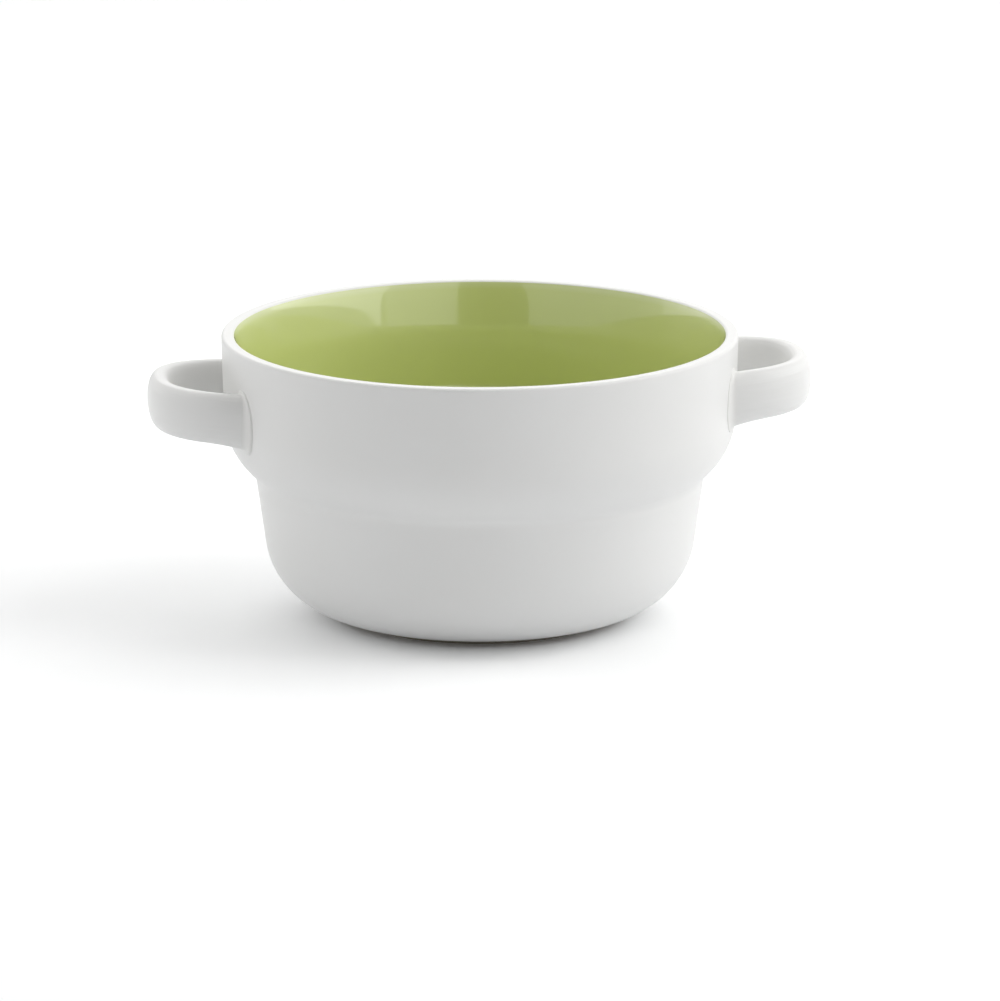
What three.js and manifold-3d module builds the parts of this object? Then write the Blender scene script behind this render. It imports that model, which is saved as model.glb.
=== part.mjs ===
import * as THREE from 'three';
import { mergeVertices } from 'three/addons/utils/BufferGeometryUtils.js';
import Module from 'manifold-3d';

// Two-handled soup bowl, in millimetres. The axis of the bowl is Z, it stands on z = 0,
// and the handles lie along X. Sizes are those of the glazed bowl unless they name the clay.

const degree = Math.PI / 180;

// Bowl wall: two tiers that meet in a crease all round, thinning inside to the lip
const rimDiameter = 135;
const bowlHeight = 74.9;
const wallThickness = 5.6;
const lipThickness = 3.4;
const lipEdge = 0.8;
const upperTierHeight = 36.9;
const creaseInset = 8.6;
const creaseFillet = 5;
const upperLean = 1.5 * degree;
const shoulderLean = 48.5 * degree;
const lowerLean = 7.9 * degree;
const heelRadius = 21;
const innerShoulderRadius = 4;

// Foot ring under the start of the heel curve
const footHeight = 1.4;
const footReach = 0.2;
const footWidth = 4.6;
const footEdge = 0.5;

// Glaze coats
const coatThickness = 0.5;
const glazeLineAngle = 150 * degree;
const bareMargin = 3.5;

// Strap handles, measured on the middle line of the strap: its drop below the rim, its reach
// beyond the rim and its spread from leg to leg. They are stuck on by hand, the left one a little lower.
// The rise is upwards for each millimetre outwards.
const leftHandleDrop = 17;
const rightHandleDrop = 14.1;
const handleReach = 16.2;
const rootSpan = 42.4;
const endSpan = 36.5;
const loopSquareness = 2.63;
const handleRise = 0.053;
const strapHeight = 13.4;
const strapThickness = 6.5;
const strapSquareness = 2.8;

// Slip beads round the handle roots
const beadRadius = 1.2;
const jointClearance = 0.25;

// Fineness of the curved faces
const turnSteps = 48;
const heelSteps = 5;
const creaseSteps = 3;
const shoulderSteps = 5;
const lipSteps = 3;
const strapSteps = 24;
const strapSides = 12;
const beadSteps = 3;

const rimRadius = rimDiameter / 2;
const outerEdge = new THREE.Vector2(rimRadius - lipEdge, bowlHeight - lipEdge);
const innerEdge = new THREE.Vector2(rimRadius - lipThickness + lipEdge, bowlHeight - lipEdge);

// Straight runs of the wall, each a point on the outside and a direction upwards
const upward = (lean) => new THREE.Vector2(Math.sin(lean), Math.cos(lean));
const upperFace = new THREE.Vector2(Math.cos(upperLean), -Math.sin(upperLean));
const upperPoint = outerEdge.clone().addScaledVector(upperFace, lipEdge);
const upperRun = { point: upperPoint, along: upward(upperLean) };
const creasePoint = new THREE.Vector2(rimRadius - creaseInset, bowlHeight - upperTierHeight);
const shoulderRun = { point: creasePoint, along: upward(shoulderLean) };
const lowerRun = { point: creasePoint, along: upward(lowerLean) };
const baseRun = { point: new THREE.Vector2(0, footHeight), along: upward(Math.PI / 2) };

// The point that lies at a depth under both of two runs
function pointUnder(first, second, depth) {
  const inward = (run) => new THREE.Vector2(-run.along.y, run.along.x).multiplyScalar(depth).add(run.point);
  const start = inward(first);
  const gap = inward(second).sub(start);
  const distance = gap.cross(second.along) / first.along.cross(second.along);
  return start.addScaledVector(first.along, distance);
}

// Arc between two angles, each measured from straight out and turning upwards
function arc(centre, radius, from, to, steps) {
  const points = [];
  for (let step = 0; step <= steps; step += 1) {
    const angle = from + (to - from) * step / steps;
    points.push(new THREE.Vector2(Math.cos(angle), Math.sin(angle)).multiplyScalar(radius).add(centre));
  }
  return points;
}

// The shoulder is one round from the end of the crease fillet to the upper wall
const shoulderRoom = pointUnder(shoulderRun, upperRun, 0).distanceTo(creasePoint)
  - creaseFillet * Math.tan((shoulderLean - lowerLean) / 2);
const shoulderRadius = shoulderRoom / Math.tan((shoulderLean - upperLean) / 2);

const heelCentre = pointUnder(baseRun, lowerRun, heelRadius);
const creaseCentre = pointUnder(lowerRun, shoulderRun, -creaseFillet);
const shoulderCentre = pointUnder(shoulderRun, upperRun, shoulderRadius);
const innerShoulderCentre = pointUnder(shoulderRun, upperRun, wallThickness + innerShoulderRadius);

const footOuterRadius = heelCentre.x + footReach;
const footInnerRadius = footOuterRadius - footWidth;
const glazeStop = Math.asin((footReach + bareMargin) / heelRadius) - Math.PI / 2;

// The lower tier seen in section at a depth under its outside face, from the bare foot to the crease
function lowerLine(depth) {
  return [
    ...arc(heelCentre, heelRadius - depth, glazeStop, -lowerLean, heelSteps),
    ...arc(creaseCentre, -creaseFillet - depth, -lowerLean, -shoulderLean, creaseSteps),
  ];
}

// The wall up to the top of its shoulder, near its outside and near its inside, which turns more tightly
function wallLine(depth) {
  const radius = shoulderRadius - depth;
  return [...lowerLine(depth), ...arc(shoulderCentre, radius, -shoulderLean, -upperLean, shoulderSteps)];
}

function insideLine(depth) {
  const radius = innerShoulderRadius + wallThickness - depth;
  return [...lowerLine(depth), ...arc(innerShoulderCentre, radius, -shoulderLean, -upperLean, shoulderSteps)];
}

// The bare part of the heel under that, from the flat base outwards
function bareHeel(depth) {
  return arc(heelCentre, heelRadius - depth, -Math.PI / 2, glazeStop, 2).slice(0, -1);
}

// The flat lip at a depth, with its two round edges, split on the inner one where the two glazes meet
const outerLip = (depth) => arc(outerEdge, lipEdge - depth, -upperLean, Math.PI / 2, lipSteps);
const innerLip = (depth) => arc(innerEdge, lipEdge - depth, Math.PI / 2, glazeLineAngle, lipSteps);
const greenLip = (depth) => arc(innerEdge, lipEdge - depth, glazeLineAngle, Math.PI, 1);
const whiteLip = (depth) => [...outerLip(depth), ...innerLip(depth)];

const axisPoint = (height) => new THREE.Vector2(0, height);
const turned = (points) => new THREE.LatheGeometry(points, turnSteps).rotateX(Math.PI / 2);

// Solids for joining and cutting
const wasm = await Module();
wasm.setup();

function solid(geometry) {
  const plain = geometry.clone();
  plain.deleteAttribute('normal');
  plain.deleteAttribute('uv');
  const merged = mergeVertices(plain, 1e-4);
  const vertProperties = new Float32Array(merged.attributes.position.array);
  const triVerts = new Uint32Array(merged.index.array);
  return new wasm.Manifold(new wasm.Mesh({ numProp: 3, vertProperties, triVerts }));
}

function geometryOf(manifold) {
  const mesh = manifold.getMesh();
  const geometry = new THREE.BufferGeometry();
  geometry.setAttribute('position', new THREE.BufferAttribute(mesh.vertProperties, 3));
  geometry.setIndex(new THREE.BufferAttribute(mesh.triVerts, 1));
  const flat = geometry.toNonIndexed();
  flat.computeVertexNormals();
  return flat;
}

// Clay bowl with its foot ring
const innerDepth = wallThickness - coatThickness;
const clayBowl = solid(turned([
  axisPoint(footHeight + coatThickness),
  ...bareHeel(coatThickness),
  ...wallLine(coatThickness),
  ...whiteLip(coatThickness),
  ...greenLip(coatThickness).slice(1),
  ...insideLine(innerDepth).reverse(),
  ...bareHeel(innerDepth).reverse(),
  axisPoint(footHeight + innerDepth),
]));
const footTop = footHeight + wallThickness / 2;
const footRing = solid(turned([
  new THREE.Vector2(footInnerRadius + footEdge, 0),
  new THREE.Vector2(footOuterRadius - footEdge, 0),
  new THREE.Vector2(footOuterRadius, footEdge),
  new THREE.Vector2(footOuterRadius, footTop),
  new THREE.Vector2(footInnerRadius, footTop),
  new THREE.Vector2(footInnerRadius, footEdge),
  new THREE.Vector2(footInnerRadius + footEdge, 0),
]));

// Coats of glaze on the bowl
const linerGeometry = turned([
  axisPoint(footHeight + innerDepth),
  ...bareHeel(innerDepth),
  ...insideLine(innerDepth),
  ...greenLip(coatThickness).reverse(),
  ...greenLip(0),
  ...insideLine(wallThickness).reverse(),
  ...bareHeel(wallThickness).reverse(),
  axisPoint(footHeight + wallThickness),
]);
const whiteLine = [
  ...wallLine(0),
  ...whiteLip(0),
  ...whiteLip(coatThickness).reverse(),
  ...wallLine(coatThickness).reverse(),
];
const whiteCoat = solid(turned([...whiteLine, whiteLine[0]]));
const baseRadius = footInnerRadius - jointClearance;
const baseGeometry = turned([
  axisPoint(footHeight),
  new THREE.Vector2(baseRadius, footHeight),
  new THREE.Vector2(baseRadius, footHeight + coatThickness),
  axisPoint(footHeight + coatThickness),
]);

// The clay bowl filled to its rim and grown by the joint clearance, which trims the handle roots
const grownDepth = coatThickness - jointClearance;
const bowlSpace = solid(turned([
  axisPoint(footHeight),
  ...wallLine(grownDepth),
  ...outerLip(grownDepth),
  axisPoint(bowlHeight - grownDepth),
]));

// Radius of the outside wall at a height
function wallRadiusAt(height) {
  const line = [...wallLine(0), ...outerLip(0)];
  const above = line.findIndex((point) => point.y >= height);
  const low = line[above - 1];
  const high = line[above];
  return THREE.MathUtils.mapLinear(height, low.y, high.y, low.x, high.x);
}

// Place and middle line of a handle at a drop below the rim. Seen from above, the middle line is
// a squared half oval that narrows outwards. The lift brings a shape made round z = 0 to its height.
function handleShape(drop) {
  const height = bowlHeight - drop;
  const radius = wallRadiusAt(height);
  const rootX = Math.sqrt(radius ** 2 - (rootSpan / 2) ** 2);
  const loopLength = rimRadius + handleReach - rootX;
  const legSlope = (endSpan - rootSpan) / 2 / loopLength;
  const lift = new THREE.Matrix4().makeTranslation(0, 0, height - handleRise * radius)
    .multiply(new THREE.Matrix4().makeShear(0, handleRise, 0, 0, 0, 0));
  return { height, rootX, loopLength, legSlope, lift };
}

const squared = (value, power) => Math.sign(value) * Math.abs(value) ** (2 / power);

function loopPoint({ rootX, loopLength, legSlope }, angle) {
  const along = loopLength * squared(Math.sin(angle), loopSquareness);
  const across = (rootSpan / 2 + legSlope * along) * squared(Math.cos(angle), loopSquareness);
  return new THREE.Vector3(rootX + along, across, 0);
}

function loopCurve(shape) {
  const buried = wallThickness * 2;
  const points = [];
  for (let step = 0; step <= strapSteps * 2; step += 1) {
    points.push(loopPoint(shape, Math.PI * step / strapSteps / 2));
  }
  const rear = new THREE.Vector3(shape.rootX - buried, rootSpan / 2 - shape.legSlope * buried, 0);
  const front = new THREE.Vector3(rear.x, -rear.y, 0);
  return new THREE.CatmullRomCurve3([rear, ...points, front]);
}

// Half height and half thickness of the strap at an angle round its section, grown by an amount
function strapEdge(angle, growth) {
  const up = (strapHeight / 2 + growth) * squared(Math.cos(angle), strapSquareness);
  const out = (strapThickness / 2 + growth) * squared(Math.sin(angle), strapSquareness);
  return new THREE.Vector2(up, out);
}

function strap(shape, growth) {
  const points = [];
  for (let side = 0; side < strapSides; side += 1) {
    points.push(strapEdge(2 * Math.PI * side / strapSides, growth));
  }
  const section = new THREE.Shape(points);
  const sweep = { steps: strapSteps, extrudePath: loopCurve(shape), bevelEnabled: false };
  return solid(new THREE.ExtrudeGeometry(section, sweep).applyMatrix4(shape.lift));
}

// Closed shape through a row of rings of points, with a middle point at each end
function middle(ring) {
  const sum = new THREE.Vector3();
  ring.forEach((point) => sum.add(point));
  return sum.divideScalar(ring.length);
}

function lofted(rings) {
  const sides = rings[0].length;
  const last = (rings.length - 1) * sides;
  const startMiddle = rings.length * sides;
  const endMiddle = startMiddle + 1;
  const points = [...rings.flat(), middle(rings[0]), middle(rings.at(-1))];
  const index = [];
  for (let side = 0; side < sides; side += 1) {
    const next = (side + 1) % sides;
    for (let low = 0; low < last; low += sides) {
      const high = low + sides;
      index.push(low + side, high + next, low + next);
      index.push(low + side, high + side, high + next);
    }
    index.push(startMiddle, side, next);
    index.push(endMiddle, last + next, last + side);
  }
  return new THREE.BufferGeometry().setFromPoints(points).setIndex(index);
}

// Root of a strap with its bead, grown by an amount: the section flares into the wall by a hollow round.
// The side is 1 for the rear root and -1 for the front one.
function flaredRoot(shape, side, growth) {
  const outward = new THREE.Vector2(1, side * shape.legSlope).normalize();
  const sideways = new THREE.Vector2(-outward.y, outward.x);
  const root = new THREE.Vector2(shape.rootX, side * rootSpan / 2);
  const ring = (distance, flare) => {
    const points = [];
    for (let turn = 0; turn < strapSides; turn += 1) {
      const edge = strapEdge(2 * Math.PI * turn / strapSides, flare);
      const start = sideways.clone().multiplyScalar(edge.y).add(root);
      const wall = wallRadiusAt(shape.height + edge.x);
      const inward = start.dot(outward);
      const reach = Math.sqrt(inward ** 2 - start.lengthSq() + wall ** 2) - inward + distance;
      start.addScaledVector(outward, reach);
      points.push(new THREE.Vector3(start.x, start.y, edge.x));
    }
    return points;
  };
  const rings = [ring(-wallThickness, beadRadius + growth)];
  for (let step = 0; step <= beadSteps; step += 1) {
    const angle = Math.PI / 2 * step / beadSteps;
    const distance = (beadRadius + growth) * (1 - Math.cos(angle));
    const flare = beadRadius * (1 - Math.sin(angle)) + growth;
    rings.push(ring(distance, flare));
  }
  return lofted(rings).applyMatrix4(shape.lift);
}

// Finishes
const bareClay = { color: 0xd9cdb9, roughness: 0.9, metalness: 0 };
const slipClay = { color: 0xe4e2dc, roughness: 0.55, metalness: 0 };
const whiteGlaze = { color: 0xe6e5e1, roughness: 0.42, metalness: 0 };
const greenGlaze = { color: 0xa9b56a, roughness: 0.15, metalness: 0 };

function piece(name, geometry, finish) {
  const mesh = new THREE.Mesh(geometry, new THREE.MeshStandardMaterial(finish));
  mesh.name = name;
  mesh.material.name = `${name}_finish`;
  return mesh;
}

const bowl = new THREE.Group();
bowl.name = 'soup_bowl';

// Each handle with its coat and beads, built on the right and turned half round for the left.
// The coats stop at the beads, on the strap and on the wall.
const handles = [
  { side: 'right', drop: rightHandleDrop, turn: 0, roots: { rear: 1, front: -1 } },
  { side: 'left', drop: leftHandleDrop, turn: Math.PI, roots: { front: 1, rear: -1 } },
];
let openedCoat = whiteCoat;
for (const { side, drop, turn, roots } of handles) {
  const shape = handleShape(drop);
  const strapClay = strap(shape, -coatThickness);
  const strapSpace = strap(shape, jointClearance - coatThickness).add(bowlSpace);
  let sleeve = strap(shape, 0).subtract(strapClay).subtract(bowlSpace);
  const group = new THREE.Group();
  group.rotation.z = turn;
  group.add(piece(`${side}_handle`, geometryOf(strapClay.subtract(bowlSpace)), bareClay));
  for (const [root, way] of Object.entries(roots)) {
    const bead = solid(flaredRoot(shape, way, 0)).subtract(strapSpace);
    group.add(piece(`${side}_${root}_slip_joint`, geometryOf(bead), slipClay));
    const opening = flaredRoot(shape, way, jointClearance);
    sleeve = sleeve.subtract(solid(opening));
    openedCoat = openedCoat.subtract(solid(opening.rotateZ(turn)));
  }
  group.add(piece(`${side}_handle_glaze`, geometryOf(sleeve), whiteGlaze));
  bowl.add(group);
}

bowl.add(piece('bowl_body', geometryOf(clayBowl.add(footRing)), bareClay));
bowl.add(piece('interior_glaze', linerGeometry, greenGlaze));
bowl.add(piece('exterior_glaze', geometryOf(openedCoat), whiteGlaze));
bowl.add(piece('base_glaze', baseGeometry, whiteGlaze));

export default bowl;
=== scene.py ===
# %% [markdown]
# # A stoneware soup bowl with two strap handles
# The real bowl is a turned clay body on a foot ring, with two pulled straps stuck on with slip, a satin
# white glaze outside and a gloss green glaze inside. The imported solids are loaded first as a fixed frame.
# Each piece made below stands for one of those solids, in the same place, with a finer surface and a finish.

# %% Load the solids
import math
from collections import namedtuple

import bmesh
import bpy
from mathutils import Matrix, Vector
from mathutils.bvhtree import BVHTree


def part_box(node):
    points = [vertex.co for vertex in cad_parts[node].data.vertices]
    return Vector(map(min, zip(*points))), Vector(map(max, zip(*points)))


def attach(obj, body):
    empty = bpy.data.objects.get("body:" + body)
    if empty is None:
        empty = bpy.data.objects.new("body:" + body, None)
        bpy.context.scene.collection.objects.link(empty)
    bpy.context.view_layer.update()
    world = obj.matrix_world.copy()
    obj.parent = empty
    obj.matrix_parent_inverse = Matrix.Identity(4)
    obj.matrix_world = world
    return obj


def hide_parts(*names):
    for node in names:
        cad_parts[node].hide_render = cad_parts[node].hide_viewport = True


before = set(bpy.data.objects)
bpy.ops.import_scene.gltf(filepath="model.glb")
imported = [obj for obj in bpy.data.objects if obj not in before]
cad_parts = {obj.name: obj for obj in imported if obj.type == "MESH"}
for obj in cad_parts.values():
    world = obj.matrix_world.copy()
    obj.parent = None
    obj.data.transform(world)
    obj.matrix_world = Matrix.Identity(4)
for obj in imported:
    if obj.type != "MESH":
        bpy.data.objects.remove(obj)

MM = 0.001
scene = bpy.context.scene
scene.view_settings.view_transform = "Standard"
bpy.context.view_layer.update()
print("solids:", ", ".join(sorted(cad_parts)))

# %% [markdown]
# ## The camera
# The photograph was taken from well back with a long lens, a little above the rim. The rim's ellipse gives
# the tilt, its place in the picture gives the aim, and the handles give the turn of the bowl. The camera is
# turned round the bowl instead of the bowl under the camera, so that the pieces stay in the solids' frame.

# %% Place the camera
image_width = 1000
image_height = 1001
focal_pixels = 6851.9
axis_pixel = 480.0
aim_pixel = 501.3
camera_distance = 1.8
camera_tilt = 0.2421
handle_turn = 0.105
aim_point = Vector((0, 0, 0.02928))

to_camera = Vector((-math.sin(handle_turn), -math.cos(handle_turn), 0))
to_right = Vector((math.cos(handle_turn), -math.sin(handle_turn), 0))
sight = -math.cos(camera_tilt) * to_camera - Vector((0, 0, math.sin(camera_tilt)))
sight_up = to_right.cross(sight)
aside = (image_width / 2 - axis_pixel) / focal_pixels
lift = (image_height / 2 - aim_pixel) / focal_pixels
look = (sight + aside * to_right - lift * sight_up).normalized()
look_right = look.cross(Vector((0, 0, 1))).normalized()
look_up = look_right.cross(look)

camera = bpy.data.objects.new("camera", bpy.data.cameras.new("camera"))
scene.collection.objects.link(camera)
camera.data.sensor_fit = "HORIZONTAL"
camera.data.lens = camera.data.sensor_width * focal_pixels / image_width
turn = Matrix((look_right, look_up, -look)).transposed()
camera.matrix_world = Matrix.Translation(aim_point - camera_distance * sight) @ turn.to_4x4()
scene.camera = camera
print(f"camera: {camera.data.lens:.0f} mm lens, {math.degrees(camera_tilt):.1f} degrees above the bowl")

# %% [markdown]
# ## Helpers for node trees
# Every material and every shape below is a tree of nodes. A helper makes a node, sets its options, and
# sets or wires its inputs in one call, so that a tree reads like a recipe.

# %% Node helpers
def node(tree, kind, inputs=None, **options):
    """A new node, with its options set and its inputs given by socket name or number."""
    made = tree.nodes.new(kind)
    for option, setting in options.items():
        setattr(made, option, setting)
    for key, value in (inputs or {}).items():
        socket = made.inputs[key]
        if isinstance(value, bpy.types.NodeSocket):
            tree.links.new(value, socket)
        else:
            socket.default_value = value
    return made


def sums(tree, operation, first, second=None):
    """The result of one step of arithmetic in a tree."""
    inputs = {0: first} if second is None else {0: first, 1: second}
    return node(tree, "ShaderNodeMath", inputs, operation=operation).outputs[0]


def spread(tree, value, low, high):
    """A value from 0 to 1 spread over a range."""
    return sums(tree, "ADD", sums(tree, "MULTIPLY", value, high - low), low)


print("node helpers ready")

# %% Helpers for finishes
def blotches(tree, place, scale, detail=2.0):
    """Soft random blotches from 0 to 1, with so many to the metre."""
    inputs = {"Vector": place, "Scale": scale, "Detail": detail, "Roughness": 0.5}
    return node(tree, "ShaderNodeTexNoise", inputs).outputs[0]


def blend(tree, share, first, second):
    """One colour turning into another by a share."""
    mix = node(tree, "ShaderNodeMix", {0: share}, data_type="RGBA")
    for number, colour in ((6, first), (7, second)):
        if isinstance(colour, bpy.types.NodeSocket):
            tree.links.new(colour, mix.inputs[number])
        else:
            mix.inputs[number].default_value = (*colour, 1)
    return mix.outputs[2]


def ripples(tree, height, depth, below=None):
    """A bump of so many metres from a height of 0 to 1, over another bump."""
    inputs = {"Height": height, "Distance": depth, "Strength": 1.0}
    if below is not None:
        inputs["Normal"] = below
    return node(tree, "ShaderNodeBump", inputs).outputs[0]


def finish(name):
    """A new material with its tree, its main shader and the place on the piece."""
    material = bpy.data.materials.new(name)
    material.use_nodes = True
    tree = material.node_tree
    shader = tree.nodes["Principled BSDF"]
    place = node(tree, "ShaderNodeTexCoord").outputs["Object"]
    return material, tree, shader, place


print("helpers for finishes ready")

# %% [markdown]
# ## White satin glaze
# The outside is a thick, even white with a soft sheen. A fired glaze is never quite flat: it drifts a little
# in tone, lies in slow ripples and has a fine skin like an orange. All of that is far weaker than it looks
# in a close view, so each noise only moves the colour, the roughness or the bump by a small amount.

# %% White satin glaze
satin_thin = (0.775, 0.772, 0.750)
satin_thick = (0.815, 0.814, 0.800)
satin_roughness = (0.30, 0.42)
satin_drift_scale = 22.0
skin_scale = 700.0
skin_depth = 0.004 * MM
wall_ripple_scale = 45.0
wall_ripple_depth = 0.10 * MM


def satin_white(tree, shader, place):
    """Sets the white and the sheen that wall and straps share, and gives the fine skin of the glaze."""
    drift = blotches(tree, place, satin_drift_scale)
    tree.links.new(blend(tree, drift, satin_thin, satin_thick), shader.inputs["Base Color"])
    skin = blotches(tree, place, skin_scale)
    tree.links.new(spread(tree, skin, *satin_roughness), shader.inputs["Roughness"])
    return skin


def white_satin_glaze():
    material, tree, shader, place = finish("white_satin_glaze")
    skin = satin_white(tree, shader, place)
    slow = ripples(tree, blotches(tree, place, wall_ripple_scale), wall_ripple_depth)
    tree.links.new(ripples(tree, skin, skin_depth, slow), shader.inputs["Normal"])
    return material


white_glaze = white_satin_glaze()
print("material:", white_glaze.name)

# %% [markdown]
# ## Green gloss glaze
# The inside is a clear spring green that shines like glass. Its colour drifts slowly, and over the last
# two millimetres under the lip it turns paler: a painted highlight where the inner edge of the rim catches
# the light. Two shaders could be mixed for colour and shine, but the coat of one Principled shader is a clear
# gloss over the colour already.

# %% Green gloss glaze
green_deep = (0.560, 0.620, 0.225)
green_thin = (0.600, 0.660, 0.255)
green_drift_scale = 30.0
# Painted highlight: a paler green mixed in towards the inner edge of the rim, where it catches the light.
rim_highlight_green = (0.72, 0.75, 0.52)
rim_highlight_share = 0.35
rim_highlight_from = 72.7 * MM
rim_highlight_to = 74.5 * MM
green_roughness = (0.28, 0.36)
gloss_roughness = (0.04, 0.07)
green_skin_scale = 500.0
green_ripple_scale = 55.0
green_ripple_depth = 0.03 * MM


def green_gloss_glaze():
    material, tree, shader, place = finish("green_gloss_glaze")
    height = node(tree, "ShaderNodeSeparateXYZ", {0: place}).outputs["Z"]
    limits = {"Value": height, "From Min": rim_highlight_from, "From Max": rim_highlight_to}
    near_lip = node(tree, "ShaderNodeMapRange", limits).outputs[0]
    body = blend(tree, blotches(tree, place, green_drift_scale), green_deep, green_thin)
    # Paler near the lip: the painted highlight on the inner edge of the rim.
    colour = blend(tree, sums(tree, "MULTIPLY", near_lip, rim_highlight_share), body, rim_highlight_green)
    tree.links.new(colour, shader.inputs["Base Color"])
    skin = blotches(tree, place, green_skin_scale)
    tree.links.new(spread(tree, skin, *green_roughness), shader.inputs["Roughness"])
    tree.links.new(spread(tree, skin, *gloss_roughness), shader.inputs["Coat Roughness"])
    shader.inputs["Coat Weight"].default_value = 1.0
    slow = ripples(tree, blotches(tree, place, green_ripple_scale), green_ripple_depth)
    tree.links.new(slow, shader.inputs["Normal"])
    return material


green_glaze = green_gloss_glaze()
print("material:", green_glaze.name)

# %% [markdown]
# ## Bare stoneware and slip
# The foot is wiped before firing, so the clay shows there: matt, buff grey and speckled with grog. The slip
# that sticks the handles on lies under the white glaze and only shows as a slightly warmer line.

# %% Bare stoneware
clay_dark = (0.30, 0.26, 0.21)
clay_light = (0.39, 0.35, 0.29)
clay_tone_scale = 120.0
clay_roughness = (0.75, 0.95)
grog_brown = (0.17, 0.13, 0.10)
grog_scale = 1500.0
grog_detail = 4.0
grog_limits = (0.60, 0.72)
grog_depth = 0.05 * MM


def bare_stoneware():
    material, tree, shader, place = finish("bare_stoneware")
    tone = blend(tree, blotches(tree, place, clay_tone_scale), clay_dark, clay_light)
    grains = blotches(tree, place, grog_scale, grog_detail)
    limits = {"Value": grains, "From Min": grog_limits[0], "From Max": grog_limits[1]}
    specks = node(tree, "ShaderNodeMapRange", limits).outputs[0]
    tree.links.new(blend(tree, specks, tone, grog_brown), shader.inputs["Base Color"])
    tree.links.new(spread(tree, grains, *clay_roughness), shader.inputs["Roughness"])
    tree.links.new(ripples(tree, grains, grog_depth), shader.inputs["Normal"])
    return material


stoneware = bare_stoneware()
print("material:", stoneware.name)

# %% Glazed slip
slip_thin = (0.755, 0.750, 0.722)
slip_thick = (0.805, 0.803, 0.785)
slip_roughness = (0.32, 0.46)
slip_drift_scale = 260.0
slip_ripple_depth = 0.06 * MM


def white_glazed_slip():
    material, tree, shader, place = finish("white_glazed_slip")
    drift = blotches(tree, place, slip_drift_scale)
    tree.links.new(blend(tree, drift, slip_thin, slip_thick), shader.inputs["Base Color"])
    tree.links.new(spread(tree, drift, *slip_roughness), shader.inputs["Roughness"])
    tree.links.new(ripples(tree, drift, slip_ripple_depth), shader.inputs["Normal"])
    return material


slip_glaze = white_glazed_slip()
print("material:", slip_glaze.name)

# %% [markdown]
# ## The wall in section
# The bowl is turned, so all of its shape is in one section: heel, lower tier, crease, shoulder, upper tier
# and lip. Each stretch is an arc between straight runs. A line drawn at a depth under the outside face gives
# the clay under its coat, with the same arcs at other radii. Tracing the outline by hand would give the same
# shape once, and this way every size can still be changed.

# %% Sizes of the wall
rim_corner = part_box("exterior_glaze")[1]
rim_radius = rim_corner.x
bowl_height = rim_corner.z
lip_thickness = 3.4 * MM
lip_edge = 0.8 * MM
upper_tier = 36.9 * MM
crease_inset = 8.6 * MM
crease_fillet = 5 * MM
upper_lean = math.radians(1.5)
shoulder_lean = math.radians(48.5)
lower_lean = math.radians(7.9)
heel_radius = 21 * MM
foot_height = 1.4 * MM
print(f"rim {2000 * rim_radius:.1f} mm across, {1000 * bowl_height:.1f} mm high")

# %% Straight runs of the wall
def upward(lean):
    """The way up along a run that leans outwards."""
    return Vector((math.sin(lean), math.cos(lean)))


outer_edge = Vector((rim_radius - lip_edge, bowl_height - lip_edge))
inner_edge = Vector((rim_radius - lip_thickness + lip_edge, bowl_height - lip_edge))
crease_point = Vector((rim_radius - crease_inset, bowl_height - upper_tier))
upper_face = Vector((math.cos(upper_lean), -math.sin(upper_lean)))
upper_run = (outer_edge + lip_edge * upper_face, upward(upper_lean))
shoulder_run = (crease_point, upward(shoulder_lean))
lower_run = (crease_point, upward(lower_lean))
base_run = (Vector((0, foot_height)), upward(math.pi / 2))
print(f"crease {2000 * crease_point.x:.1f} mm across, {1000 * crease_point.y:.1f} mm high")

# %% Arcs of the wall
def point_under(first, second, depth):
    """The point that lies at a depth under both of two straight runs."""
    starts = [point + depth * Vector((-along.y, along.x)) for point, along in (first, second)]
    ahead = (starts[1] - starts[0]).cross(second[1]) / first[1].cross(second[1])
    return starts[0] + ahead * first[1]


shoulder_room = (point_under(shoulder_run, upper_run, 0) - crease_point).length
shoulder_room -= crease_fillet * math.tan((shoulder_lean - lower_lean) / 2)
shoulder_radius = shoulder_room / math.tan((shoulder_lean - upper_lean) / 2)
heel_centre = point_under(base_run, lower_run, heel_radius)
crease_centre = point_under(lower_run, shoulder_run, -crease_fillet)
shoulder_centre = point_under(shoulder_run, upper_run, shoulder_radius)
print(f"shoulder radius {1000 * shoulder_radius:.1f} mm")

# %% Points along a line
arc_step = math.radians(3)
point_spacing = 2 * MM


def arc(centre, radius, start, end):
    """Points of an arc between two angles, each from straight out and turning upwards."""
    steps = max(2, math.ceil(abs(end - start) / arc_step))
    angles = [start + (end - start) * step / steps for step in range(steps + 1)]
    return [centre + radius * Vector((math.cos(angle), math.sin(angle))) for angle in angles]


def straight(start, end):
    """Points between two ends, without the ends."""
    steps = math.ceil((end - start).length / point_spacing)
    return [start.lerp(end, step / steps) for step in range(1, steps)]


print(f"a point every {math.degrees(arc_step):.0f} degrees or {1000 * point_spacing:.0f} mm")

# %% Lines of the wall
foot_reach = 0.2 * MM
bare_margin = 3.5 * MM
glaze_stop = math.asin((foot_reach + bare_margin) / heel_radius) - math.pi / 2


def lower_line(depth):
    """The lower tier at a depth under the outside, from the edge of the bare foot to the crease."""
    heel = arc(heel_centre, heel_radius - depth, glaze_stop, -lower_lean)
    crease = arc(crease_centre, -crease_fillet - depth, -lower_lean, -shoulder_lean)
    return [*heel, *straight(heel[-1], crease[0]), *crease]


def wall_line(depth):
    """The wall at a depth under the outside, from the edge of the bare foot to the top of the shoulder."""
    shoulder = arc(shoulder_centre, shoulder_radius - depth, -shoulder_lean, -upper_lean)
    return [*lower_line(depth), *shoulder[1:]]


print(f"wall line: {len(wall_line(0))} points")

# %% Line of the outside
glaze_line = math.radians(150)


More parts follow.
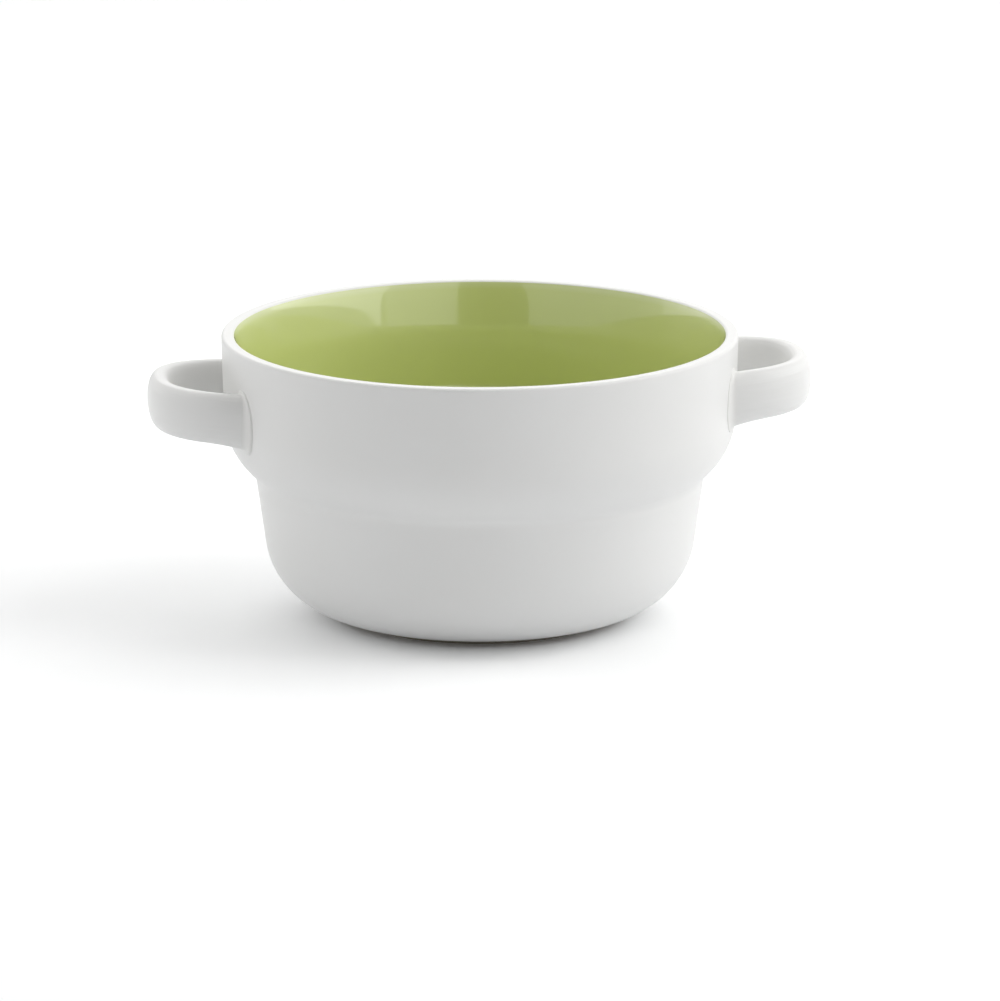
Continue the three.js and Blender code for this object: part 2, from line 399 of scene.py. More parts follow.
def white_lip(depth):
    """The flat lip at a depth, over its outer edge and round its inner one to where the glazes meet."""
    outer = arc(outer_edge, lip_edge - depth, -upper_lean, math.pi / 2)
    inner = arc(inner_edge, lip_edge - depth, math.pi / 2, glaze_line)
    return [*outer, *straight(outer[-1], inner[0]), *inner]


def outside(depth):
    """The outside at a depth, from the bare foot up to the line where the two glazes meet."""
    wall = wall_line(depth)
    lip = white_lip(depth)
    return [*wall, *straight(wall[-1], lip[0]), *lip]


print(f"outside line: {len(outside(0))} points")

# %% [markdown]
# ## The inside line
# Inside, the wall thins towards the lip. The glossy wall mirrors what stands in front of the bowl down to
# about a finger's width under the rim, which an upright wall could not do for so low a camera. So the inside
# leans well out under the lip, holds a gentler lean, and then comes back to the lean of the outside. The
# shoulder is turned to a tighter round inside than outside, over a slightly thinner lower tier, so that it
# stays hidden behind the front lip, as in the photograph.

# %% Shoulder and heel near the inside
wall_thickness = 5.6 * MM
lower_thickness = 4.75 * MM
inner_shoulder = 1.6 * MM
thinning = wall_thickness - lower_thickness
shoulder_face = Vector((math.cos(shoulder_lean), -math.sin(shoulder_lean)))
inner_shoulder_run = (crease_point + thinning * shoulder_face, upward(shoulder_lean))
inner_shoulder_centre = point_under(inner_shoulder_run, upper_run, wall_thickness + inner_shoulder)


def inside_line(depth):
    """The wall line near the inside, where the shoulder is tighter and the lower tier thinner."""
    radius = inner_shoulder + wall_thickness - depth
    shoulder = arc(inner_shoulder_centre, radius, -shoulder_lean, -upper_lean)
    lower = lower_line(depth - thinning)
    return [*lower, *straight(lower[-1], shoulder[0]), *shoulder]


def bare_heel(depth):
    """The heel from the flat base out to the edge of the glaze."""
    return arc(heel_centre, heel_radius - depth, -math.pi / 2, glaze_stop)[:-1]


print(f"wall {1000 * wall_thickness:.1f} mm thick, lower tier {1000 * lower_thickness:.2f} mm")

# %% Line of the inside
lip_lean = math.radians(18)
taper_lean = math.radians(9.5)
taper_height = 16 * MM
lip_fade = 0.12
taper_hold = 0.6
taper_steps = 40


def inside_lean(share):
    """Lean of the inside at a share of the taper, from the lip downwards."""
    late = max(0.0, (share - taper_hold) / (1 - taper_hold))
    ease = late * late * (3 - 2 * late)
    near_lip = (lip_lean - taper_lean) * math.exp(-share / lip_fade)
    return taper_lean + (upper_lean - taper_lean) * ease + near_lip


def inside(depth):
    """The inside at a depth under its face, from the line where the glazes meet down to the axis."""
    lip = arc(inner_edge, lip_edge - depth, glaze_line, math.pi - lip_lean)
    start = lip[-1]
    wall = inside_line(wall_thickness - depth)[::-1]
    insets = [0.0]
    for step in range(taper_steps):
        insets.append(insets[-1] + math.tan(inside_lean((step + 0.5) / taper_steps)))
    foot = wall[0] + upward(upper_lean) * (start.y - taper_height - wall[0].y) / math.cos(upper_lean)
    taper = []
    for step in range(1, taper_steps + 1):
        radius = start.x + (foot.x - start.x) * insets[step] / insets[-1]
        taper.append(Vector((radius, start.y - taper_height * step / taper_steps)))
    floor = Vector((0, foot_height + lower_thickness - depth))
    heel = bare_heel(lower_thickness - depth)[::-1]
    return [*lip, *taper, *straight(taper[-1], wall[0]), *wall, *heel, floor]


mouth = 2000 * min(point.x for point in inside(0)[:taper_steps])
print(f"inside line: {len(inside(0))} points, {mouth:.1f} mm across under the lip")

# %% [markdown]
# ## Turning the pieces on a wheel
# A potter's wheel turns one section into a round. Spin or the Screw modifier would do it, but a Geometry
# Nodes tree keeps the rule in view: a grid has one column for each step of the turn and one row for each
# point of the section, and each of its points is set at the radius and height of its row and the angle of
# its column. Merging by distance then closes the seam and the middle.

# %% Tree helpers
merge_distance = 0.001 * MM


def new_tree(name, inputs):
    """A Geometry Nodes tree with named inputs, the identifier of each, and its input node."""
    tree = bpy.data.node_groups.new(name, "GeometryNodeTree")
    tree.interface.new_socket("Geometry", in_out="INPUT", socket_type="NodeSocketGeometry")
    keys = {}
    for label, kind in inputs.items():
        socket = tree.interface.new_socket(label, in_out="INPUT", socket_type=kind)
        keys[label] = socket.identifier
    tree.interface.new_socket("Geometry", in_out="OUTPUT", socket_type="NodeSocketGeometry")
    return tree, keys, tree.nodes.new("NodeGroupInput").outputs


def end_tree(tree, geometry, material):
    """Closes the seams of a grid, smooths it and gives it its material."""
    merged = node(tree, "GeometryNodeMergeByDistance", {"Geometry": geometry, "Distance": merge_distance})
    smooth = node(tree, "GeometryNodeSetShadeSmooth", {0: merged.outputs[0]})
    real = node(tree, "GeometryNodeRealizeInstances", {0: smooth.outputs[0]})
    made = node(tree, "GeometryNodeSetMaterial", {"Geometry": real.outputs[0], "Material": material})
    node(tree, "NodeGroupOutput", {0: made.outputs[0]})


def grid_of(tree, columns, rows):
    """A grid of points, with the column and the row of each."""
    wide = sums(tree, "ADD", columns, 1.0)
    sizes = {"Vertices X": wide, "Vertices Y": rows}
    grid = node(tree, "GeometryNodeMeshGrid", sizes).outputs["Mesh"]
    index = node(tree, "GeometryNodeInputIndex").outputs[0]
    column = sums(tree, "FLOOR", sums(tree, "DIVIDE", sums(tree, "ADD", index, 0.5), rows))
    row = sums(tree, "SUBTRACT", index, sums(tree, "MULTIPLY", column, rows))
    return grid, column, row


def sampled(tree, geometry, value, row, kind="FLOAT_VECTOR"):
    """The value that a line of points holds at a row."""
    inputs = {"Geometry": geometry, "Value": value, "Index": row}
    return node(tree, "GeometryNodeSampleIndex", inputs, data_type=kind, domain="POINT").outputs[0]


print("tree helpers ready")

# %% Tree of the wheel
def wheel_tree():
    inputs = {"Turn Steps": "NodeSocketInt", "Material": "NodeSocketMaterial"}
    tree, keys, given = new_tree("potters_wheel", inputs)
    section = given["Geometry"]
    size = node(tree, "GeometryNodeAttributeDomainSize", {0: section})
    grid, column, row = grid_of(tree, given["Turn Steps"], size.outputs["Point Count"])
    position = node(tree, "GeometryNodeInputPosition").outputs[0]
    point = node(tree, "ShaderNodeSeparateXYZ", {0: sampled(tree, section, position, row)}).outputs
    step = sums(tree, "DIVIDE", 2 * math.pi, given["Turn Steps"])
    angle = sums(tree, "MULTIPLY", column, step)
    across = sums(tree, "MULTIPLY", point["X"], sums(tree, "COSINE", angle))
    along = sums(tree, "MULTIPLY", point["X"], sums(tree, "SINE", angle))
    place = node(tree, "ShaderNodeCombineXYZ", {"X": across, "Y": along, "Z": point["Z"]}).outputs[0]
    turned = node(tree, "GeometryNodeSetPosition", {"Geometry": grid, "Position": place})
    end_tree(tree, turned.outputs[0], given["Material"])
    return tree, keys


wheel, wheel_keys = wheel_tree()
print("wheel tree:", len(wheel.nodes), "nodes")

# %% From a tree to a plain mesh
sharp_angle = math.radians(40)


def grown(name, line, tree, keys, values):
    """Runs a tree on a line of points and keeps the result as a plain mesh."""
    piece = bpy.data.objects.new(name, line)
    scene.collection.objects.link(piece)
    modifier = piece.modifiers.new("shape", "NODES")
    modifier.node_group = tree
    for label, value in values.items():
        modifier[keys[label]] = value
    view = bpy.context.evaluated_depsgraph_get()
    mesh = bpy.data.meshes.new_from_object(piece.evaluated_get(view))
    piece.modifiers.remove(modifier)
    piece.data = mesh
    return tidied(piece)


def tidied(piece):
    """Turns the faces of a closed mesh outwards and keeps its edges crisp."""
    work = bmesh.new()
    work.from_mesh(piece.data)
    bmesh.ops.recalc_face_normals(work, faces=work.faces)
    open_edges = sum(1 for edge in work.edges if not edge.is_manifold)
    volume = work.calc_volume(signed=True)
    work.to_mesh(piece.data)
    work.free()
    piece.data.set_sharp_from_angle(angle=sharp_angle)
    piece.data.name = piece.name
    faces = len(piece.data.polygons)
    print(f"{piece.name}: {faces} faces, {1e6 * volume:.2f} cm3, {open_edges} open edges")
    return piece


print("mesh helpers ready")

# %% Turned pieces
turn_steps = 240


def turned(name, section, material):
    """A piece turned from its section, a closed line or one that starts and ends on the axis."""
    line = bpy.data.meshes.new(name)
    line.from_pydata([(point.x, 0, point.y) for point in section], [], [])
    line.update()
    values = {"Turn Steps": turn_steps, "Material": material}
    return grown(name, line, wheel, wheel_keys, values)


print(f"wheel ready, {turn_steps} steps to a turn")

# %% [markdown]
# ## The bowl and its coats
# Four turned pieces make the bowl: the clay with its foot ring, the white coat outside, the green lining and
# the white coat under the base. The coats share their lines with the clay, so they lie on it without a gap.

# %% Turn the coats
coat = 0.5 * MM
white_section = [*outside(0), *outside(coat)[::-1]]
white_coat = turned("white_wall_coat", [*white_section, white_section[0]], white_glaze)
green_lining = turned("green_lining", [*inside(0)[::-1], *inside(coat)], green_glaze)

# %% Turn the clay and the coat under the base
foot_width = 4.6 * MM
foot_edge = 0.5 * MM
joint_clearance = 0.25 * MM
foot_outer = heel_centre.x + foot_reach
foot_inner = foot_outer - foot_width
under_base = foot_height + coat
heel_start = -math.acos(foot_reach / (heel_radius - coat))

foot_section = [
    Vector((0, under_base)),
    Vector((foot_inner, under_base)),
    *arc(Vector((foot_inner + foot_edge, foot_edge)), foot_edge, -math.pi, -math.pi / 2),
    *arc(Vector((foot_outer - foot_edge, foot_edge)), foot_edge, -math.pi / 2, 0),
    *arc(heel_centre, heel_radius - coat, heel_start, glaze_stop)[:-1],
]
clay_bowl = turned("clay_bowl", [*foot_section, *outside(coat), *inside(coat)[1:]], stoneware)

base_radius = foot_inner - joint_clearance
base_edge = coat / 2
base_section = [
    Vector((0, foot_height)),
    *arc(Vector((base_radius - base_edge, foot_height + base_edge)), base_edge, -math.pi / 2, math.pi / 2),
    Vector((0, under_base)),
]
base_coat = turned("base_coat", base_section, white_glaze)

# %% [markdown]
# ## The strap handles
# Each handle is a strip of clay pulled to an oval section, bent into a loop and pressed on at both ends. It
# follows a path, so a second tree sweeps it: a squared oval stands on each point of the middle line, and the
# lower edge droops a little towards the wall, where the clay was pressed down. The handles were stuck on by
# hand, and the left one sits a little lower than the right one.

# %% Places of the handles
handle_drops = {"right": 14.1 * MM, "left": 17 * MM}
handle_reach = 16.2 * MM
root_span = 42.4 * MM
end_span = 36.5 * MM
Handle = namedtuple("Handle", "side height radius root_x loop_length leg_slope")


def wall_radius(height):
    """Radius of the outside of the upper tier at a height."""
    top = shoulder_centre.y - shoulder_radius * math.sin(upper_lean)
    if height < top:
        return shoulder_centre.x + math.sqrt(shoulder_radius**2 - (shoulder_centre.y - height) ** 2)
    return upper_run[0].x - (upper_run[0].y - height) * math.tan(upper_lean)


def handle_of(side):
    """Place of a handle, as it lies on the right, and the sizes of its loop."""
    height = bowl_height - handle_drops[side]
    radius = wall_radius(height)
    root_x = math.sqrt(radius**2 - (root_span / 2) ** 2)
    loop_length = rim_radius + handle_reach - root_x
    leg_slope = (end_span - root_span) / 2 / loop_length
    return Handle(side, height, radius, root_x, loop_length, leg_slope)


handles = [handle_of(side) for side in handle_drops]
for handle in handles:
    print(f"{handle.side} handle: {1000 * handle.height:.1f} mm up, {1000 * handle.loop_length:.1f} mm long")

# %% Middle line of a strap
loop_squareness = 2.63
path_steps = 160
buried = 3 * MM


def squared(value, power):
    """A sine or cosine of a round, changed to that of a squared oval."""
    return math.copysign(abs(value) ** (2 / power), value)


def loop_point(handle, angle):
    """A point of the loop, at an angle from one root over the tip to the other."""
    along = handle.loop_length * squared(math.sin(angle), loop_squareness)
    across = (root_span / 2 + handle.leg_slope * along) * squared(math.cos(angle), loop_squareness)
    return Vector((handle.root_x + along, across, 0))


def middle_line(handle):
    """Points of the middle line from deep in the wall, round the loop and back into the wall."""
    ends = []
    for depth in (buried, buried / 2):
        ends.append(Vector((handle.root_x - depth, root_span / 2 - handle.leg_slope * depth, 0)))
    loop = [loop_point(handle, math.pi * step / path_steps) for step in range(path_steps + 1)]
    mirrored = [Vector((point.x, -point.y, 0)) for point in ends[::-1]]
    return [*ends, *loop, *mirrored]


for handle in handles:
    tip = max(point.x for point in middle_line(handle))
    print(f"{handle.side} middle line: reaching {1000 * tip:.1f} mm out")

# %% Line of points that carries the strap
def strap_line(handle):
    """The middle line as a mesh, with the way outwards, the length along it and the size at each point."""
    path = middle_line(handle)
    tangents = []
    for step in range(len(path)):
        before = path[max(step - 1, 0)]
        after = path[min(step + 1, len(path) - 1)]
        tangents.append((after - before).normalized())
    sideways = [Vector((tangent.y, -tangent.x, 0)) for tangent in tangents]
    along = [0.0]
    for first, second in zip(path, path[1:]):
        along.append(along[-1] + (second - first).length)
    rows = [0, *range(len(path)), len(path) - 1]
    line = bpy.data.meshes.new("strap_line")
    line.from_pydata([path[row] for row in rows], [], [])
    outward = line.attributes.new("outward", "FLOAT_VECTOR", "POINT")
    outward.data.foreach_set("vector", [number for row in rows for number in sideways[row]])
    length = line.attributes.new("along", "FLOAT", "POINT")
    length.data.foreach_set("value", [along[row] for row in rows])
    size = line.attributes.new("size", "FLOAT", "POINT")
    size.data.foreach_set("value", [0.0, *[1.0] * len(path), 0.0])
    line.update()
    return line


print(f"strap line: {len(middle_line(handles[0]))} points")

# %% Section and droop of the strap
def oval(tree, part, squareness, scale):
    """The squared sine or cosine of the angle round the section, from -1 to 1, times a scale."""
    power = sums(tree, "DIVIDE", 2.0, squareness)
    rounded = sums(tree, "POWER", sums(tree, "ABSOLUTE", part), power)
    return sums(tree, "MULTIPLY", sums(tree, "MULTIPLY", sums(tree, "SIGN", part), rounded), scale)


def drooping(tree, given, x, y, upright):
    """How far the lower edge hangs down, more and more towards the wall."""
    squares = sums(tree, "ADD", sums(tree, "MULTIPLY", x, x), sums(tree, "MULTIPLY", y, y))
    clear = sums(tree, "SUBTRACT", sums(tree, "SQRT", squares), given["Wall Radius"])
    near = sums(tree, "SUBTRACT", 1.0, sums(tree, "DIVIDE", clear, given["Droop Length"]))
    near = sums(tree, "MINIMUM", sums(tree, "MAXIMUM", near, 0.0), 1.0)
    lower = sums(tree, "MAXIMUM", sums(tree, "MULTIPLY", upright, -1.0), 0.0)
    most = sums(tree, "MULTIPLY", sums(tree, "MULTIPLY", near, near), given["Droop"])
    return sums(tree, "MULTIPLY", most, lower)


print("helpers for the strap ready")

# %% Tree of the strap
def strap_tree():
    inputs = {
        "Sides": "NodeSocketInt",
        "Half Height": "NodeSocketFloat",
        "Half Thickness": "NodeSocketFloat",
        "Squareness": "NodeSocketFloat",
        "Height": "NodeSocketFloat",
        "Rise": "NodeSocketFloat",
        "Wall Radius": "NodeSocketFloat",
        "Droop": "NodeSocketFloat",
        "Droop Length": "NodeSocketFloat",
        "Material": "NodeSocketMaterial",
    }
    tree, keys, given = new_tree("pulled_strap", inputs)
    line = given["Geometry"]
    size = node(tree, "GeometryNodeAttributeDomainSize", {0: line})
    grid, column, row = grid_of(tree, given["Sides"], size.outputs["Point Count"])

    def carried(name, kind):
        """What the line of points holds under a name, at each row."""
        named = node(tree, "GeometryNodeInputNamedAttribute", {"Name": name}, data_type=kind)
        return sampled(tree, line, named.outputs[0], row, kind)

    scale = carried("size", "FLOAT")
    angle = sums(tree, "MULTIPLY", column, sums(tree, "DIVIDE", 2 * math.pi, given["Sides"]))
    cosine = sums(tree, "COSINE", angle)
    sine = sums(tree, "SINE", angle)
    upright = oval(tree, cosine, given["Squareness"], scale)
    sideways = oval(tree, sine, given["Squareness"], scale)
    up = sums(tree, "MULTIPLY", upright, given["Half Height"])
    out = sums(tree, "MULTIPLY", sideways, given["Half Thickness"])

    position = node(tree, "GeometryNodeInputPosition").outputs[0]
    middle = node(tree, "ShaderNodeSeparateXYZ", {0: sampled(tree, line, position, row)}).outputs
    way = node(tree, "ShaderNodeSeparateXYZ", {0: carried("outward", "FLOAT_VECTOR")}).outputs
    x = sums(tree, "ADD", middle["X"], sums(tree, "MULTIPLY", way["X"], out))
    y = sums(tree, "ADD", middle["Y"], sums(tree, "MULTIPLY", way["Y"], out))
    hang = drooping(tree, given, x, y, upright)
    rise = sums(tree, "MULTIPLY", given["Rise"], sums(tree, "SUBTRACT", x, given["Wall Radius"]))
    z = sums(tree, "ADD", sums(tree, "ADD", up, given["Height"]), sums(tree, "SUBTRACT", rise, hang))
    place = node(tree, "ShaderNodeCombineXYZ", {"X": x, "Y": y, "Z": z}).outputs[0]
    swept = node(tree, "GeometryNodeSetPosition", {"Geometry": grid, "Position": place}).outputs[0]

    grain = node(tree, "ShaderNodeCombineXYZ", {"X": cosine, "Y": sine, "Z": carried("along", "FLOAT")})
    stored = {"Geometry": swept, "Name": "grain", "Value": grain.outputs[0]}
    marked = node(tree, "GeometryNodeStoreNamedAttribute", stored, data_type="FLOAT_VECTOR", domain="POINT")
    end_tree(tree, marked.outputs[0], given["Material"])
    return tree, keys


strap, strap_keys = strap_tree()
print("strap tree:", len(strap.nodes), "nodes")

# %% [markdown]
# ## Glaze on the straps
# A pulled strap keeps faint lines along its length from the potter's wet hand, and the glaze softens them.
# The tree stores where each point lies round and along the strap, and the bump stretches its noise along it.

# %% White glaze with pulled lines
pulled_stretch = (3.2, 3.2, 28.0)
pulled_scale = 1.6
pulled_detail = 1.0
pulled_depth = 0.10 * MM
strap_ripple_scale = 60.0
strap_ripple_depth = 0.12 * MM


def pulled_satin_glaze():
    material, tree, shader, place = finish("pulled_satin_glaze")
    skin = satin_white(tree, shader, place)
    grain = node(tree, "ShaderNodeAttribute", attribute_name="grain").outputs["Vector"]
    stretch = node(tree, "ShaderNodeMapping", {"Vector": grain, "Scale": pulled_stretch}).outputs[0]
    lines = ripples(tree, blotches(tree, stretch, pulled_scale, pulled_detail), pulled_depth)
    slow = ripples(tree, blotches(tree, place, strap_ripple_scale), strap_ripple_depth, lines)
    tree.links.new(ripples(tree, skin, skin_depth, slow), shader.inputs["Normal"])
    return material


strap_glaze = pulled_satin_glaze()
print("material:", strap_glaze.name)

# %% Sweep the straps
strap_height = 13.4 * MM
strap_thickness = 6.5 * MM
strap_squareness = 2.35
strap_sides = 64
handle_rise = 0.053
droop = 1.2 * MM
droop_length = 9 * MM
strap_values = {
    "Sides": strap_sides,
    "Half Height": strap_height / 2,
    "Half Thickness": strap_thickness / 2,
    "Squareness": strap_squareness,
    "Rise": handle_rise,
    "Droop": droop,
    "Droop Length": droop_length,
    "Material": strap_glaze,
}
turns = {"right": Matrix.Identity(4), "left": Matrix.Rotation(math.pi, 4, "Z")}


def surface_of(mesh):
    """The faces of a mesh, for finding the nearest point on them."""
    points = [vertex.co.copy() for vertex in mesh.vertices]
    return BVHTree.FromPolygons(points, [list(face.vertices) for face in mesh.polygons])


straps = {}
surfaces = {}
for handle in handles:
    values = {**strap_values, "Height": handle.height, "Wall Radius": handle.radius}
    piece = grown(f"{handle.side}_strap_coat", strap_line(handle), strap, strap_keys, values)
    surfaces[handle.side] = surface_of(piece.data)
    piece.data.transform(turns[handle.side])
    piece.data.update()
    straps[handle.side] = piece

# %% [markdown]
# ## The slip beads
# Slip is the clay paste that sticks a handle on. What is squeezed out is wiped to a hollow round between
# strap and wall, widest on the outer side, where the thumb presses. A Bevel modifier would need strap and
# wall to be one mesh, so the bead is built from points. For each angle round the strap, the corner where
# strap and wall meet is found first. The bead is then a curve that leaves the strap without a step and runs
# out along the wall to a small round edge. That edge gives the fine dark line round the left roots. The right
# ones are wiped thinner.

# %% Corner of strap and wall
corner_reach = 7 * MM
corner_halvings = 40


def strap_surface(handle, side, along, angle):
    """A point of the strap near a root, at a distance along the leg and an angle round it."""
    outward = Vector((1, side * handle.leg_slope, 0)).normalized()
    sideways = Vector((-outward.y, outward.x, 0)) * side
    upright = squared(math.cos(angle), strap_squareness)
    out = strap_thickness / 2 * squared(math.sin(angle), strap_squareness)
    point = Vector((handle.root_x, side * root_span / 2, 0)) + along * outward + out * sideways
    clear = math.hypot(point.x, point.y) - handle.radius
    near = min(max(1 - clear / droop_length, 0), 1)
    point.z = handle.height + strap_height / 2 * upright + handle_rise * (point.x - handle.radius)
    point.z -= droop * near * near * max(-upright, 0)
    return point


def corner(handle, side, angle):
    """Where the strap meets the wall at an angle round it: the distance along the leg and the point."""
    low, high = -corner_reach, corner_reach
    for _ in range(corner_halvings):
        middle = (low + high) / 2
        point = strap_surface(handle, side, middle, angle)
        if math.hypot(point.x, point.y) < wall_radius(point.z):
            low = middle
        else:
            high = middle
    return low, strap_surface(handle, side, low, angle)


for handle in handles:
    top = corner(handle, -1, 0)[1]
    print(f"{handle.side} strap: its top meets the wall at {1000 * top.z:.1f} mm high")

# %% Reach of a bead
bead_radius = 1.0 * MM
bead_spread = 2.1 * MM
spread_angle = math.radians(110)
spread_sharpness = 4


def on_wall(point):
    """The point of the wall's outside at the same height and angle."""
    scale = wall_radius(point.z) / math.hypot(point.x, point.y)
    return Vector((point.x * scale, point.y * scale, point.z))


def bead_reach(angle):
    """How far the bead runs out at an angle round the strap, most just below the middle of its outer side."""
    share = (1 + math.cos(angle - spread_angle)) / 2
    return bead_radius + (bead_spread - bead_radius) * share**spread_sharpness


print(f"bead: {1000 * bead_radius:.1f} mm wide, {1000 * bead_spread:.1f} mm on its outer side")

# %% Rings of a bead
bead_edges = {"right": 0.25 * MM, "left": 0.7 * MM}
bead_sides = 96
bead_steps = 8
edge_steps = 4


def bead_rings(handle, side):
    """Rings of points from the wall, over the edge and the hollow of the bead, to the strap and inside."""
    angles = [2 * math.pi * turn / bead_sides for turn in range(bead_sides)]
    found = [corner(handle, side, angle) for angle in angles]
    corners = [point for _, point in found]
    centre = sum(corners, Vector()) / bead_sides
    sections = []
    for turn, (along, point) in enumerate(found):
        run = (corners[(turn + 1) % bead_sides] - corners[turn - 1]).normalized()
        face = Vector((point.x, point.y, 0)).normalized()
        away = run.cross(face).normalized()
        if away.dot(point - centre) < 0:
            away = -away
        reach = bead_reach(angles[turn])
        edge = bead_edges[handle.side] * reach / bead_spread
        section = [on_wall(point + reach * away) - edge / 2 * face]
        for step in range(edge_steps + 1):
            round_angle = math.pi / 2 * step / edge_steps
            out = reach - edge * (1 - math.cos(round_angle))
            section.append(on_wall(point + out * away) + edge * math.sin(round_angle) * face)
        control = strap_surface(handle, side, along + edge, angles[turn])
        guess = strap_surface(handle, side, along + reach, angles[turn])
        strap_end = surfaces[handle.side].find_nearest(guess)[0]
        top = section[-1]
        for step in range(1, bead_steps + 1):
            share = step / bead_steps
            rest = 1 - share
            section.append(rest * rest * top + 2 * rest * share * control + share * share * strap_end)
        section.append(point - bead_radius / 2 * (face + away))
        sections.append(section)
    return list(zip(*sections))


print(f"bead: {len(bead_rings(handles[0], 1))} rings of {bead_sides} points")

# %% Make the beads
def bead(name, handle, side):
    """A closed bead round one root of a handle, made from its rings."""
    rings = bead_rings(handle, side)
    points = [point for ring in rings for point in ring]
    faces = []
    for ring in range(len(rings)):
        low = ring * bead_sides
        high = (ring + 1) % len(rings) * bead_sides
        for step in range(bead_sides):
            after = (step + 1) % bead_sides
            faces.append((low + step, low + after, high + after, high + step))
    mesh = bpy.data.meshes.new(name)
    mesh.from_pydata(points, [], faces)
    mesh.transform(turns[handle.side])
    mesh.materials.append(slip_glaze)
    mesh.shade_smooth()
    piece = bpy.data.objects.new(name, mesh)
    scene.collection.objects.link(piece)
    return tidied(piece)


root_sides = {"right": {"rear": 1, "front": -1}, "left": {"front": 1, "rear": -1}}
beads = {}
for handle in handles:
    for root, side in root_sides[handle.side].items():
        name = f"{handle.side}_{root}_slip"
        beads[f"{name}_joint"] = bead(f"{name}_bead", handle, side)

# %% [markdown]
# ## What stands for what
# Each piece rides on the one body of the bowl and takes the place of its solid, which is hidden. Each line of
# the table also gives the name of its finish in the record, which nothing below reads. The clay cores of the
# handles stay as they are inside their coats, with the clay's material.

# %% Tie the pieces to the frame
stand_ins = [
    (clay_bowl, "bowl_body", "bare_clay"),
    (green_lining, "interior_glaze", "green_glaze"),
    (white_coat, "exterior_glaze", "white_glaze"),
    (base_coat, "base_glaze", "white_glaze"),
    (straps["right"], "right_handle_glaze", "white_glaze"),
    (straps["left"], "left_handle_glaze", "white_glaze"),
    *[(piece, solid, "glazed_slip") for solid, piece in beads.items()],
]
for piece, solid, record_slot in stand_ins:
    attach(piece, "root")
    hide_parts(solid)

cores = ("left_handle", "right_handle")
for core in cores:
    for material_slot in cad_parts[core].material_slots:
        material_slot.material = stoneware
print(f"{len(stand_ins)} pieces stand for solids, {len(cores)} clay cores stay")

# %% [markdown]
# ## The floor
# The bowl stands on a white floor that runs into a white background. The floor shows the bowl's shadow. For
# the camera and for reflections it is a little over white, so that it burns out beside the shadow as in the
# photograph, and for light that bounces it is a plain pale floor. The Light Path node tells the two apart.

# %% Floor
floor_size = 6.0
floor_bounce = (0.94, 0.95, 0.97)
floor_seen = (1.17, 1.175, 1.175)
floor_roughness = 0.9


def seen_directly(tree):
    """One for light that goes to the camera, to a reflection or through glass, and nought for the rest."""
    path_kind = node(tree, "ShaderNodeLightPath").outputs
    glossy = sums(tree, "MAXIMUM", path_kind["Is Glossy Ray"], path_kind["Is Transmission Ray"])
    return sums(tree, "MAXIMUM", path_kind["Is Camera Ray"], glossy)


def pale_floor():
    material, tree, shader, _ = finish("pale_floor")
    colour = blend(tree, seen_directly(tree), floor_bounce, floor_seen)
    tree.links.new(colour, shader.inputs["Base Color"])
    shader.inputs["Roughness"].default_value = floor_roughness
    shader.inputs["Specular IOR Level"].default_value = 0.0
    return material


def staged_plane(name, corners, material):
    """A plain four-cornered face that belongs to the studio."""
    mesh = bpy.data.meshes.new(name)
    mesh.from_pydata(corners, [], [(0, 1, 2, 3)])
    mesh.materials.append(material)
    plane = bpy.data.objects.new(name, mesh)
    scene.collection.objects.link(plane)
    return plane


half = floor_size / 2
floor_corners = [(-half, -half, 0), (half, -half, 0), (half, half, 0), (-half, half, 0)]
staged_plane("floor", floor_corners, pale_floor())
print(f"floor: {floor_size} m across")

# %% [markdown]
# ## The dark side of the studio
# The gloss inside mirrors what stands on the camera's side. In the photograph that is a dark room between
# the panels, from behind the camera round to the left, and without it the green would look milky. A dark wall
# stands there. The camera itself does not see it.

# %% Dark wall
wall_azimuth = math.radians(-51.6)
wall_distance = 2.0
wall_width = 7.5
wall_top = 3.2
cloth_dark = (0.02, 0.02, 0.02)
cloth_light = (0.03, 0.03, 0.03)
cloth_scale = 3.0
cloth_roughness = 1.0


def dark_cloth():
    material, tree, shader, place = finish("dark_cloth")
    colour = blend(tree, blotches(tree, place, cloth_scale), cloth_dark, cloth_light)
    tree.links.new(colour, shader.inputs["Base Color"])
    shader.inputs["Roughness"].default_value = cloth_roughness
    return material


wall_way = math.cos(wall_azimuth) * to_camera + math.sin(wall_azimuth) * to_right
wall_side = wall_way.cross(Vector((0, 0, 1))) * wall_width / 2
wall_foot = wall_way * wall_distance
wall_head = wall_foot + Vector((0, 0, wall_top))
wall_corners = [wall_foot - wall_side, wall_foot + wall_side, wall_head + wall_side, wall_head - wall_side]
staged_plane("dark_wall", wall_corners, dark_cloth()).visible_camera = False
print(f"dark wall: {wall_width} m wide, {wall_top} m high")

# %% [markdown]
# ## The light panels
# The photograph was lit by large soft panels on both sides, brighter on the right, with weaker light from
# behind and above. An area light is such a panel. Its power is worked out from its size, so that a panel
# keeps its brightness when it is resized, and a brightness of 1 looks white in a mirror. Each line gives the
# angle from the camera towards the right, the angle above the floor, the distance, the width, the height and
# the brightness.

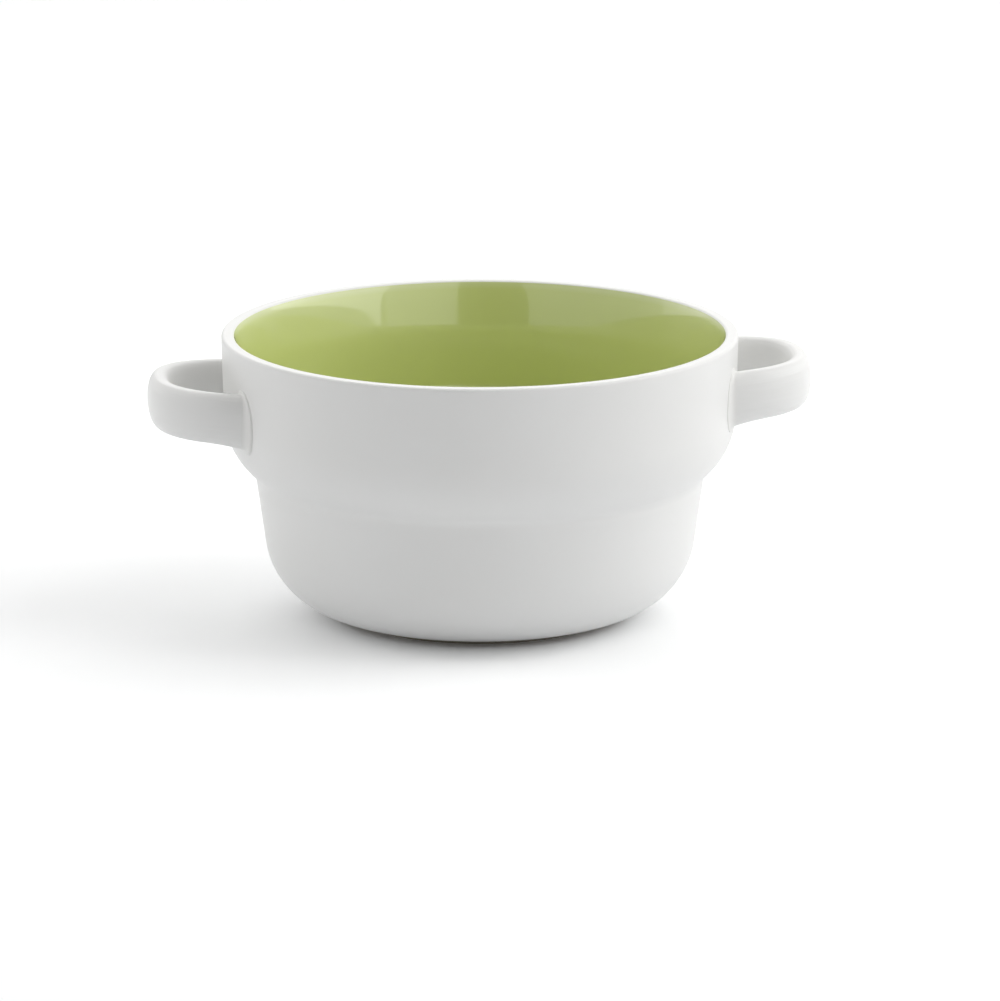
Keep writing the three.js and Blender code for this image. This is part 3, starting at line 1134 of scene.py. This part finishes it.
# %% Light panels
def light_panel(name, azimuth, elevation, distance, width, height, brightness):
    """A soft panel that faces the bowl, at angles from the camera towards the right and above the floor."""
    turn = math.radians(azimuth)
    climb = math.radians(elevation)
    away = math.cos(climb) * (math.cos(turn) * to_camera + math.sin(turn) * to_right)
    away += Vector((0, 0, math.sin(climb)))
    lamp = bpy.data.lights.new(name, "AREA")
    lamp.shape = "RECTANGLE"
    lamp.size = width
    lamp.size_y = height
    lamp.energy = brightness * math.pi * width * height
    panel = bpy.data.objects.new(name, lamp)
    panel.location = away * distance
    panel.rotation_mode = "QUATERNION"
    panel.rotation_quaternion = (-away).to_track_quat("-Z", "Y")
    panel.visible_camera = False
    scene.collection.objects.link(panel)
    return panel


light_panel("right_panel", 84.5, 24.5, 1.2, 1.65, 0.62, 2.2)
light_panel("right_high_panel", 85, 52, 1.3, 0.8, 0.8, 2.2)
light_panel("right_front_panel", 29.5, 19, 1.25, 0.78, 0.75, 0.6)
light_panel("right_back_panel", 135, 28, 1.2, 0.8, 1.0, 0.4)
light_panel("left_panel", -70, 20, 1.2, 2.4, 0.68, 1.1)
light_panel("left_high_panel", -85, 52, 1.3, 0.8, 0.8, 1.2)
light_panel("left_back_panel", -120, 28, 1.2, 0.9, 1.0, 0.65)
light_panel("back_panel", 180, 39, 1.2, 1.2, 0.88, 1.4)
light_panel("top_panel", 90, 88, 1.3, 0.9, 0.9, 1.0)
print(len(bpy.data.lights), "light panels")

# %% [markdown]
# ## The background
# The camera and the gloss see a white studio, and surfaces get only a faint light from it, because the panels
# do the lighting.

# %% White background
faint_strength = 0.06
white_strength = 1.0
world = bpy.data.worlds.new("white_studio")
scene.world = world
world.use_nodes = True
studio = world.node_tree
studio.nodes.clear()
faint = node(studio, "ShaderNodeBackground", {"Color": (1, 1, 1, 1), "Strength": faint_strength})
white = node(studio, "ShaderNodeBackground", {"Color": (1, 1, 1, 1), "Strength": white_strength})
shades = {0: seen_directly(studio), 1: faint.outputs[0], 2: white.outputs[0]}
sky = node(studio, "ShaderNodeMixShader", shades)
node(studio, "ShaderNodeOutputWorld", {"Surface": sky.outputs[0]})
print("background:", world.name)
